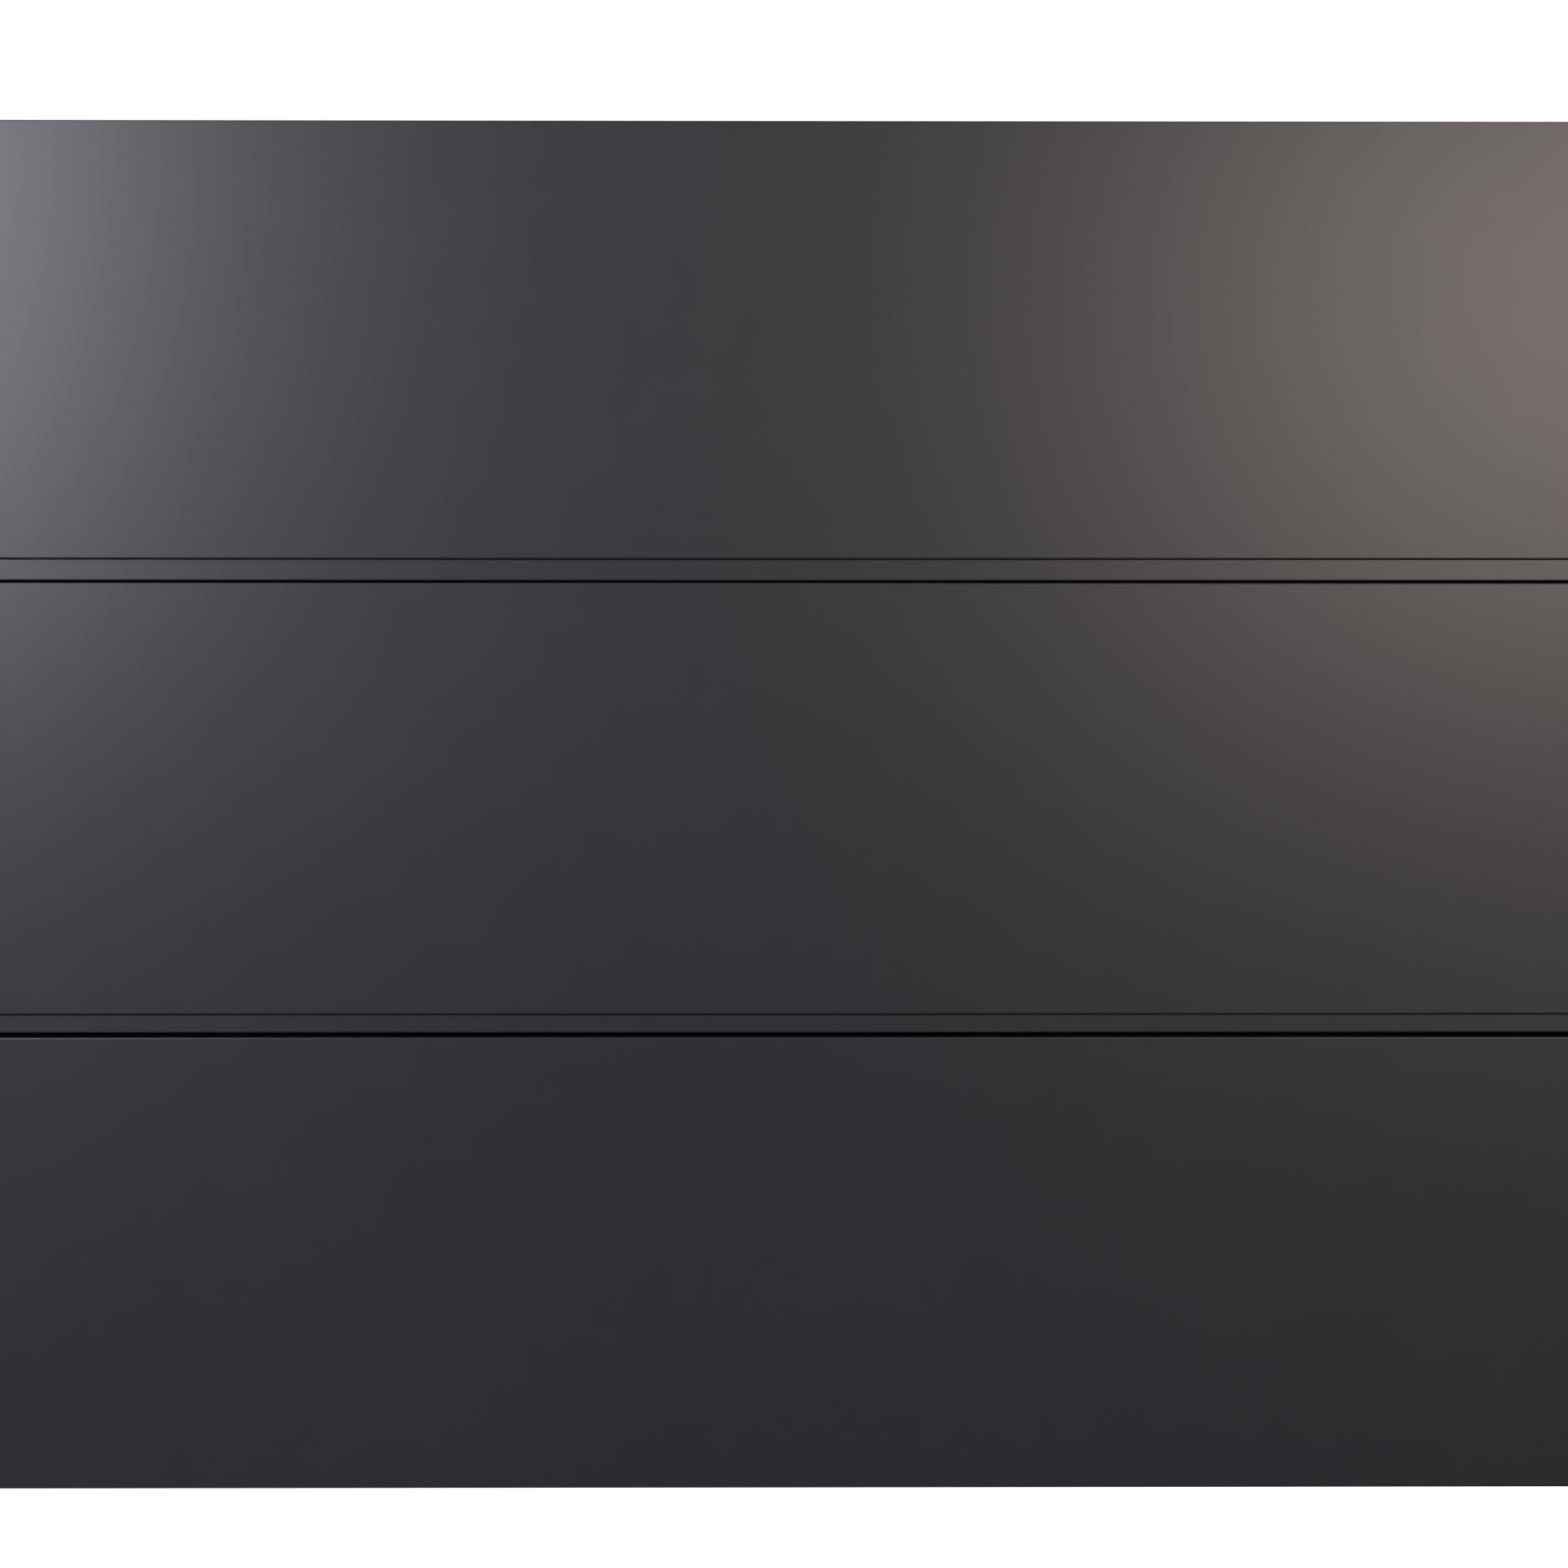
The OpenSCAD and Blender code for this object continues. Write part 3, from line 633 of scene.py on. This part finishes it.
@dataclass
class Workshop:
    """Turns frame nodes into finished pieces.

    Args:
        made: How many pieces are finished so far.
    """

    frame: dict[str, Any]
    made: int = 0

    WELD = 0.004 * MM
    FLAT_ANGLE = math.radians(0.4)
    ARRIS_ANGLE = math.radians(30.0)

    def body_of(self, node: str) -> str:
        """Names the body that a node belongs to."""
        bodies = self.frame["record"]["behaviour"]["bodies"]
        return next(name for name, nodes in bodies.items() if node in nodes)

    def dress(self, node: str, finish: Finish, name: str) -> None:
        """Gives a frame node that stays in view its finish.

        Args:
            node: The node.
            finish: Its finish.
            name: The material's name.
        """
        shown = self.frame["nodes"][node]
        for place in shown.material_slots:
            place.material = finish.material(name)
        self.made += 1
        log.info("%s keeps its frame shape, finished in %s", node, name)

    def welded(self, node: str) -> bmesh.types.BMesh:
        """Copies a node's loose triangles and joins them into clean faces.

        Args:
            node: The node.

        Returns:
            The mesh, which the caller frees.
        """
        mesh = bmesh.new()
        mesh.from_mesh(self.frame["nodes"][node].data)
        bmesh.ops.remove_doubles(mesh, verts=mesh.verts, dist=self.WELD)
        bmesh.ops.dissolve_limit(
            mesh, angle_limit=self.FLAT_ANGLE, use_dissolve_boundaries=False,
            verts=mesh.verts, edges=mesh.edges,
        )
        return mesh

    def islands(self, node: str) -> list[tuple[Vector, Vector]]:
        """Finds the separate solids of a node.

        Args:
            node: The node.

        Returns:
            The lowest and highest corner of each solid, in a fixed order.
        """
        mesh = self.welded(node)
        left = set(mesh.verts)
        found = []
        while left:
            group, edge = set(), [next(iter(left))]
            while edge:
                vert = edge.pop()
                if vert in group:
                    continue
                group.add(vert)
                edge.extend(link.other_vert(vert) for link in vert.link_edges)
            left -= group
            low = Vector(min(v.co[k] for v in group) for k in range(3))
            high = Vector(max(v.co[k] for v in group) for k in range(3))
            found.append((low, high))
        mesh.free()
        return sorted(found, key=lambda box: tuple(round(c, 5) for c in box[0]))

    def arrised(
        self,
        node: str,
        finish: Finish,
        name: str,
        radius: float,
        least: float = 9 * MM,
        steps: int = 4,
    ) -> bpy.types.Object:
        """Replaces a node by a copy of it with rounded arrises.

        Args:
            node: The node.
            finish: The copy's finish.
            name: The material's name.
            radius: The arrises' radius, in metres.
            least: The shortest edge that counts as an arris, in metres.
            steps: Facets in each rounded arris.

        Returns:
            The finished piece.
        """
        mesh = self.welded(node)
        sharp = [
            edge
            for edge in mesh.edges
            if len(edge.link_faces) == 2
            and edge.is_convex
            and edge.calc_length() > least
            and edge.calc_face_angle() > self.ARRIS_ANGLE
        ]
        bmesh.ops.bevel(
            mesh, geom=sharp, offset=radius, offset_type="OFFSET", segments=steps, profile=0.5,
            affect="EDGES", clamp_overlap=True,
        )
        clean_up(mesh)
        return self.add(mesh, f"{node}_finished", self.body_of(node), finish, name, (node,))

    def add(
        self,
        mesh: bmesh.types.BMesh,
        piece_name: str,
        body: str,
        finish: Finish,
        name: str,
        replaced: Sequence[str] = (),
    ) -> bpy.types.Object:
        """Makes a piece from a finished mesh and tells the frame about it.

        Args:
            mesh: The mesh, which is freed.
            piece_name: The piece's name.
            body: The body that it moves with.
            finish: Its finish.
            name: The material's name.
            replaced: The nodes that it stands for.

        Returns:
            The piece.
        """
        data = bpy.data.meshes.new(piece_name)
        mesh.to_mesh(data)
        mesh.free()
        data.materials.clear()
        data.materials.append(finish.material(name))
        for polygon in data.polygons:
            polygon.material_index = 0
        piece = bpy.data.objects.new(piece_name, data)
        bpy.context.collection.objects.link(piece)
        self.register(piece, body, finish, replaced)
        return piece

    def register(
        self, piece: bpy.types.Object, body: str, finish: Finish, replaced: Sequence[str] = ()
    ) -> None:
        """Puts a piece on its body and in its nodes' stead.

        Args:
            piece: The piece.
            body: The body that it moves with.
            finish: Its finish; not used.
            replaced: The nodes that it stands for.
        """
        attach(piece, body)
        if replaced:
            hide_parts(*replaced)
        self.made += 1
        log.info("%s: %d faces on %s", piece.name, len(piece.data.polygons), body)


# ------------------------------------------------------------------ fasteners


class RepeatTree:
    """A geometry tree that puts one small solid on every point of a mesh."""

    SPIN_SEED = 11

    def __init__(self, name: str, sizes: dict[str, float]) -> None:
        """Makes the tree and its named inputs.

        Args:
            name: The tree's name.
            sizes: The inputs' names and their values, in metres.
        """
        self.tree = bpy.data.node_groups.new(name, "GeometryNodeTree")
        self.sizes = sizes
        face = self.tree.interface
        face.new_socket("Geometry", in_out="OUTPUT", socket_type="NodeSocketGeometry")
        face.new_socket("Points", in_out="INPUT", socket_type="NodeSocketGeometry")
        for size in sizes:
            face.new_socket(size, in_out="INPUT", socket_type="NodeSocketFloat")
        face.new_socket("Turn", in_out="INPUT", socket_type="NodeSocketRotation")
        face.new_socket("Finish", in_out="INPUT", socket_type="NodeSocketMaterial")
        self.graph = Graph(self.tree)

    def given(self, name: str) -> Shade:
        """Gives one of the tree's inputs."""
        return self.graph.node("NodeGroupInput", {}, {}, out=name)

    def solid(self) -> Shade:
        """Builds the solid that is repeated, with its seat at the origin and its head above it."""
        raise NotImplementedError

    def close(self) -> None:
        """Repeats the solid, spins each copy a little differently, and ends the tree."""
        graph = self.graph
        spin = graph.node(
            "FunctionNodeRandomValue",
            {"data_type": "FLOAT_VECTOR"},
            {0: (0.0, 0.0, 0.0), 1: (0.0, 0.0, math.tau), "Seed": self.SPIN_SEED},
        )
        places, turn = self.given("Points"), self.given("Turn")
        values = {"Points": places, "Instance": self.solid(), "Rotation": turn}
        copies = graph.node("GeometryNodeInstanceOnPoints", {}, values)
        turns = {"Instances": copies, "Rotation": spin}
        spun = graph.node("GeometryNodeRotateInstances", {}, turns)
        real = graph.node("GeometryNodeRealizeInstances", {}, {"Geometry": spun})
        dressed = {"Geometry": real, "Material": self.given("Finish")}
        done = graph.node("GeometryNodeSetMaterial", {}, dressed)
        graph.node("NodeGroupOutput", {}, {"Geometry": done})

    def run(
        self, name: str, places: Sequence[Vector], turn: Point, material: bpy.types.Material
    ) -> bpy.types.Object:
        """Evaluates the tree on a set of points.

        Args:
            name: The new object's name.
            places: The points, in metres.
            turn: The turn from +Z to the way that the heads face, as Euler angles.
            material: The material of the result.

        Returns:
            A plain mesh object without modifiers.
        """
        points = bpy.data.meshes.new(f"{name}_points")
        points.from_pydata([tuple(place) for place in places], [], [])
        carrier = bpy.data.objects.new(f"{name}_carrier", points)
        bpy.context.collection.objects.link(carrier)
        modifier = carrier.modifiers.new("repeat", "NODES")
        modifier.node_group = self.tree
        given = {**self.sizes, "Turn": turn, "Finish": material}
        for item in self.tree.interface.items_tree:
            if item.item_type == "SOCKET" and item.in_out == "INPUT" and item.name in given:
                modifier[item.identifier] = given[item.name]
        depsgraph = bpy.context.evaluated_depsgraph_get()
        data = bpy.data.meshes.new_from_object(carrier.evaluated_get(depsgraph))
        data.name = name
        mesh = bmesh.new()
        mesh.from_mesh(data)
        clean_up(mesh)
        mesh.to_mesh(data)
        mesh.free()
        bpy.data.objects.remove(carrier)
        piece = bpy.data.objects.new(name, data)
        bpy.context.collection.objects.link(piece)
        return piece


class ScrewTree(RepeatTree):
    """Cross-head screws."""

    SIDES_ROUND = 28
    RECESS_WIDTH = 0.22
    RECESS_LENGTH = 1.15
    SHANK_OVERLAP = 0.1

    def solid(self) -> Shade:
        """Builds a head with a cross recess, and a shank below it.

        Returns:
            The screw as one closed solid.
        """
        graph = self.graph
        head_values = {
            "Vertices": self.SIDES_ROUND,
            "Radius Top": self.given("Head radius"),
            "Radius Bottom": self.given("Seat radius"),
            "Depth": self.given("Head height"),
        }
        head = graph.node("GeometryNodeMeshCone", {}, head_values)
        length = self.given("Head radius") * self.RECESS_LENGTH
        width = self.given("Head radius") * self.RECESS_WIDTH
        depth = self.given("Recess depth") * 2.0
        top = graph.node("ShaderNodeCombineXYZ", {}, {2: self.given("Head height")})
        arms = []
        for size in ((length, width, depth), (width, length, depth)):
            box = graph.node("ShaderNodeCombineXYZ", {}, dict(enumerate(size)))
            arm = graph.node("GeometryNodeMeshCube", {}, {"Size": box})
            raised = {"Geometry": arm, "Translation": top}
            arms.append(graph.node("GeometryNodeTransform", {}, raised))
        overlap = self.given("Head height") * self.SHANK_OVERLAP
        shank_values = {
            "Vertices": self.SIDES_ROUND,
            "Radius": self.given("Shank radius"),
            "Depth": self.given("Shank length") + overlap,
        }
        shank = graph.node("GeometryNodeMeshCylinder", {}, shank_values)
        middle = (overlap - self.given("Shank length")) * 0.5
        down = graph.node("ShaderNodeCombineXYZ", {}, {2: middle})
        placed = {"Geometry": shank, "Translation": down}
        lowered = graph.node("GeometryNodeTransform", {}, placed)
        joined = {"operation": "UNION", "solver": "MANIFOLD"}
        whole = graph.node("GeometryNodeMeshBoolean", joined, {"Mesh 2": [head, lowered]})
        recessed = {"operation": "DIFFERENCE", "solver": "MANIFOLD"}
        return graph.node("GeometryNodeMeshBoolean", recessed, {"Mesh 1": whole, "Mesh 2": arms})


@dataclass(frozen=True)
class Screw:
    """The sizes of one kind of screw.

    Args:
        name: The name of its tree.
        head_radius: Radius of the head's outer face, in metres.
        seat_radius: Radius of the head's seat, in metres.
        head_height: Height of the head, in metres.
        shank_radius: Radius of the shank, in metres.
        shank_length: Length of the shank, in metres.
    """

    name: str
    head_radius: float
    seat_radius: float
    head_height: float
    shank_radius: float
    shank_length: float

    RECESS_DEPTH = 1.1 * MM
    DEEPEST_SHARE = 0.8

    def tree(self) -> ScrewTree:
        """Makes the screw's geometry tree.

        Returns:
            The tree, ready to run.
        """
        sizes = {
            "Head radius": self.head_radius,
            "Seat radius": self.seat_radius,
            "Head height": self.head_height,
            "Shank radius": self.shank_radius,
            "Shank length": self.shank_length,
            "Recess depth": min(self.RECESS_DEPTH, self.DEEPEST_SHARE * self.head_height),
        }
        tree = ScrewTree(self.name, sizes)
        tree.close()
        return tree


PAN_SEAT = 3.75 * MM
PAN_SCREW = Screw("pan_screws", 0.82 * PAN_SEAT, PAN_SEAT, 2.0 * MM, 1.7 * MM, 25 * MM)
LEG_SCREW = Screw("leg_screws", 4.1 * MM, 4.5 * MM, 2.0 * MM, 2.45 * MM, 13 * MM)
SLIDE_SCREW = Screw("slide_screws", 3.7 * MM, 2.4 * MM, 1.1 * MM, 2.4 * MM, 11 * MM)


@dataclass
class Fasteners:
    """Screws that are set in rows.

    Args:
        shop: The workshop.
    """

    shop: Workshop

    FACE_REAR = (-math.pi / 2, 0.0, 0.0)
    FACE_DOWN = (math.pi, 0.0, 0.0)
    FACE_RIGHT = (0.0, math.pi / 2, 0.0)
    FACE_LEFT = (0.0, -math.pi / 2, 0.0)

    def build(self) -> None:
        """Makes the screws of the back, of the legs and of the slides."""
        zinc = ZINC.material("zinc_plated_steel")
        self._back_screws(zinc)
        self._system_screws(zinc)

    def _back_screws(self, zinc: bpy.types.Material) -> None:
        """Makes the pan-head screws that hold the back panel.

        Args:
            zinc: The screws' material.
        """
        back_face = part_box("back_panel")[1][1]
        heads = [
            Vector(((low.x + high.x) / 2, back_face, (low.z + high.z) / 2))
            for low, high in self.shop.islands("back_screws")
        ]
        piece = PAN_SCREW.tree().run("back_screws_finished", heads, self.FACE_REAR, zinc)
        self.shop.register(piece, CARCASS, ZINC, ("back_screws",))

    def _system_screws(self, zinc: bpy.types.Material) -> None:
        """Makes the screws of the leg plates and of the slides' outer members.

        Args:
            zinc: The screws' material.
        """
        legs, slides_left, slides_right = [], [], []
        sunk = SLIDE_SCREW.head_height
        for low, high in self.shop.islands("euro_screws"):
            middle = (low + high) / 2
            if high.z - low.z > high.x - low.x:
                legs.append(Vector((middle.x, middle.y, low.z + LEG_SCREW.head_height)))
            elif middle.x < 0:
                slides_left.append(Vector((high.x - sunk, middle.y, middle.z)))
            else:
                slides_right.append(Vector((low.x + sunk, middle.y, middle.z)))
        leg_tree, slide_tree = LEG_SCREW.tree(), SLIDE_SCREW.tree()
        rows = (
            ("leg_screws_finished", leg_tree, legs, self.FACE_DOWN, ("euro_screws",)),
            ("slide_screws_left", slide_tree, slides_left, self.FACE_RIGHT, ()),
            ("slide_screws_right", slide_tree, slides_right, self.FACE_LEFT, ()),
        )
        for name, tree, points, turn, replaced in rows:
            self.shop.register(tree.run(name, points, turn, zinc), CARCASS, ZINC, replaced)


# ------------------------------------------------------------------ sub-assemblies


@dataclass
class Carcass:
    """The case: panels, rails, back and the fittings that hold them.

    Args:
        shop: The workshop.
        arris: Radius of the lacquered panels' arrises, in metres.
        rail_arris: Radius of the melamine boards' arrises, in metres.
        latch_arris: Radius of the touch latches' arrises, in metres.
    """

    shop: Workshop
    arris: float = 0.9 * MM
    rail_arris: float = 0.5 * MM
    latch_arris: float = 0.25 * MM

    LACQUERED = ("top_panel", "side_panel_left", "side_panel_right")
    MELAMINED = ("bottom_panel", "rear_rail", "cross_rail_lower", "cross_rail_upper", "back_panel")
    LATCH_EDGE = 0.3 * MM

    def build(self) -> None:
        """Finishes every piece of the case."""
        for node in self.LACQUERED:
            self.shop.arrised(node, LACQUER, "anthracite_lacquer", self.arris)
        for node in self.MELAMINED:
            self.shop.arrised(node, MELAMINE, "anthracite_melamine", self.rail_arris)
        self.shop.arrised(
            "touch_latches", ACETAL, "grey_acetal", self.latch_arris, least=self.LATCH_EDGE, steps=2
        )
        self.shop.dress("cam_fittings", ZINC, "zinc_plated_steel")
        self.shop.dress("carcass_dowels", OAK_ALONG_X, "oak_along_width")


@dataclass
class Legs:
    """Four square tube legs with their plates and glides.

    Args:
        shop: The workshop.
        tube_arris: Radius of the tubes' corners, in metres.
        glide_arris: Radius of the glides' corners, in metres.
    """

    shop: Workshop
    tube_arris: float = 1.8 * MM
    glide_arris: float = 1.2 * MM

    TUBE_EDGE = 20 * MM
    GLIDE_EDGE = 5 * MM

    def build(self) -> None:
        """Finishes the legs and the glides."""
        for end in ("front", "rear"):
            for side in SIDES:
                node = f"leg_{end}_{side}"
                self.shop.arrised(node, BLACK_COAT, "black_powder_coat", self.tube_arris, self.TUBE_EDGE)
        self.shop.arrised("leg_glides", NYLON, "black_nylon", self.glide_arris, self.GLIDE_EDGE)


@dataclass
class Drawer:
    """One drawer with its front, its box and its pair of slides.

    Args:
        shop: The workshop.
        level: Which of the three drawers it is.
        front_arris: Radius of the front's arrises, in metres.
        box_arris: Radius of the box's arrises, in metres.
    """

    shop: Workshop
    level: str
    front_arris: float = 0.8 * MM
    box_arris: float = 1.0 * MM

    BOX_EDGE = 40 * MM

    def build(self) -> None:
        """Finishes the drawer's front, box and slides."""
        front = f"drawer_front_{self.level}"
        self.shop.arrised(front, LACQUER, "anthracite_lacquer", self.front_arris)
        self._box()
        self._slides()

    def _box(self) -> None:
        """Finishes the box and the fittings that hold the front to it."""
        for side in SIDES:
            board = f"box_side_{self.level}_{side}"
            self.shop.arrised(board, OAK_ALONG_Y, "oak_along_depth", self.box_arris, self.BOX_EDGE)
        board = f"box_back_{self.level}"
        self.shop.arrised(board, OAK_ALONG_X, "oak_along_width", self.box_arris, self.BOX_EDGE)
        self.shop.dress(f"box_bottom_{self.level}", BIRCH, "birch_plywood")
        self.shop.dress(f"drawer_fixings_{self.level}", ZINC, "zinc_plated_steel")

    def _slides(self) -> None:
        """Finishes the slides' members and ball cages."""
        kinds = ("slide_middle_pair", "outer_ball_cages", "inner_ball_cages")
        steel = [f"{kind}_{self.level}" for kind in kinds]
        for side in SIDES:
            steel += [f"slide_outer_{self.level}_{side}", f"slide_inner_{self.level}_{side}"]
        for node in steel:
            self.shop.dress(node, ZINC, "zinc_plated_steel")


# ------------------------------------------------------------------ studio


@dataclass(frozen=True)
class Softbox:
    """One soft studio light.

    Args:
        name: The light's name.
        place: Where it stands, in metres.
        aim: The point that it faces, in metres.
        width: Its width, in metres.
        height: Its height, in metres.
        power: Its power, in watts.
        colour: Its colour.
    """

    name: str
    place: Point
    aim: Point
    width: float
    height: float
    power: float
    colour: Colour = (1.0, 1.0, 1.0)

    def build(self) -> bpy.types.Object:
        """Makes the light.

        Returns:
            The light's object.
        """
        data = bpy.data.lights.new(self.name, "AREA")
        data.shape = "RECTANGLE"
        data.size, data.size_y = self.width, self.height
        data.energy = self.power
        data.color = self.colour
        lamp = bpy.data.objects.new(self.name, data)
        lamp.location = self.place
        beam = Vector(self.aim) - Vector(self.place)
        lamp.rotation_euler = beam.to_track_quat("-Z", "Y").to_euler()
        lamp.visible_camera = False
        bpy.context.collection.objects.link(lamp)
        return lamp


@dataclass
class Studio:
    """Camera, lights, floor and the white surroundings.

    Args:
        camera_distance: The camera's distance from the fronts, in metres.
        camera_left: How far the camera stands left of the middle, in metres.
        camera_height: The camera's height, in metres.
        aim_height: The height of the point that it looks at, in metres.
        lens: Its focal length, in millimetres.
        floor_size: The floor's side, in metres.
        floor_glow: How bright the floor looks.
        floor_tone: The floor's own tone as the camera sees it.
        floor_bounce: The floor's tone for the light that it throws back.
        ambient: The strength of the surroundings' light.
        lamps: The softboxes.
    """

    camera_distance: float = 2.2
    camera_left: float = 0.0164
    camera_height: float = 0.51
    aim_height: float = 0.5055
    lens: float = 89.7
    floor_size: float = 16.0
    floor_glow: float = 0.94
    floor_tone: float = 0.3
    floor_bounce: float = 0.05
    ambient: float = 0.10
    lamps: tuple[Softbox, ...] = field(default_factory=tuple)

    def build(self) -> None:
        """Makes the studio around the object."""
        self._camera()
        self._floor()
        self._world()
        for lamp in self.lamps:
            lamp.build()
        bpy.context.scene.view_settings.view_transform = "Standard"

    def _camera(self) -> None:
        """Makes the camera, which looks straight at the fronts from a little left of the middle."""
        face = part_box("drawer_front_upper")[0][1]
        data = bpy.data.cameras.new("camera")
        data.lens = self.lens
        camera = bpy.data.objects.new("camera", data)
        camera.location = (-self.camera_left, face - self.camera_distance, self.camera_height)
        aim = Vector((0.0, face, self.aim_height))
        camera.rotation_euler = (aim - camera.location).to_track_quat("-Z", "Y").to_euler()
        bpy.context.collection.objects.link(camera)
        bpy.context.scene.camera = camera

    def _floor(self) -> None:
        """Makes a plain pale floor that looks white and throws little light back."""
        mesh = bmesh.new()
        bmesh.ops.create_grid(mesh, x_segments=1, y_segments=1, size=self.floor_size / 2)
        data = bpy.data.meshes.new("floor")
        mesh.to_mesh(data)
        mesh.free()
        made = bpy.data.materials.new("pale_floor")
        made.use_nodes = True
        graph = Graph(made.node_tree)
        matt, pale = (
            graph.node("ShaderNodeBsdfDiffuse", {}, {"Color": (tone, tone, tone, 1.0)})
            for tone in (self.floor_bounce, self.floor_tone)
        )
        glow = graph.node("ShaderNodeEmission", {}, {"Strength": self.floor_glow})
        seen = graph.node("ShaderNodeAddShader", {}, {0: pale, 1: glow})
        direct = graph.node("ShaderNodeLightPath", {}, {}, out="Is Camera Ray")
        surface = graph.node("ShaderNodeMixShader", {}, {0: direct, 1: matt, 2: seen})
        graph.node("ShaderNodeOutputMaterial", {}, {"Surface": surface})
        data.materials.append(made)
        floor = bpy.data.objects.new("floor", data)
        bpy.context.collection.objects.link(floor)

    def _world(self) -> None:
        """Makes surroundings that look white and light the object softly."""
        world = bpy.data.worlds.new("studio")
        world.use_nodes = True
        bpy.context.scene.world = world
        graph = Graph(world.node_tree)
        colour = toned((1.0, 1.0, 1.0))
        white, soft = (
            graph.node("ShaderNodeBackground", {}, {"Color": colour, "Strength": strength})
            for strength in (1.0, self.ambient)
        )
        direct = graph.node("ShaderNodeLightPath", {}, {}, out="Is Camera Ray")
        surface = graph.node("ShaderNodeMixShader", {}, {0: direct, 1: soft, 2: white})
        graph.node("ShaderNodeOutputWorld", {}, {"Surface": surface})


LAMPS = (
    Softbox(
        "cool_softbox_left", (-1.69, -2.36, 1.24), (-0.45, -0.24, 0.75),
        1.75, 0.94, 64.5, (0.934, 0.923, 1.0),
    ),
    Softbox(
        "warm_softbox_right", (1.53, -3.44, 1.19), (0.45, -0.24, 0.75),
        1.8, 0.78, 38.7, (1.0, 0.874, 0.778),
    ),
    Softbox("overhead_softbox", (0.0, 0.35, 2.5), (0.0, 0.2, 0.0), 2.0, 1.1, 60.0, (1.0, 0.98, 0.95)),
    Softbox("side_softbox_left", (-2.6, 0.7, 1.5), (-0.6, 0.1, 0.5), 1.2, 1.6, 70.0, (0.95, 0.97, 1.0)),
    Softbox("side_softbox_right", (2.6, 0.7, 1.5), (0.6, 0.1, 0.5), 1.2, 1.6, 60.0, (1.0, 0.95, 0.9)),
    Softbox("rear_softbox", (0.8, 2.8, 1.7), (0.0, 0.24, 0.45), 2.0, 1.2, 60.0),
)


def main() -> None:
    """Builds the dresser's looks and its studio."""
    logging.basicConfig(level=logging.INFO, format="%(name)s: %(message)s")
    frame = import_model()
    shop = Workshop(frame)
    Carcass(shop).build()
    Legs(shop).build()
    for level in LEVELS:
        Drawer(shop, level).build()
    Fasteners(shop).build()
    Studio(lamps=LAMPS).build()
    log.info("%d pieces finished", shop.made)


if __name__ == "__main__":
    main()
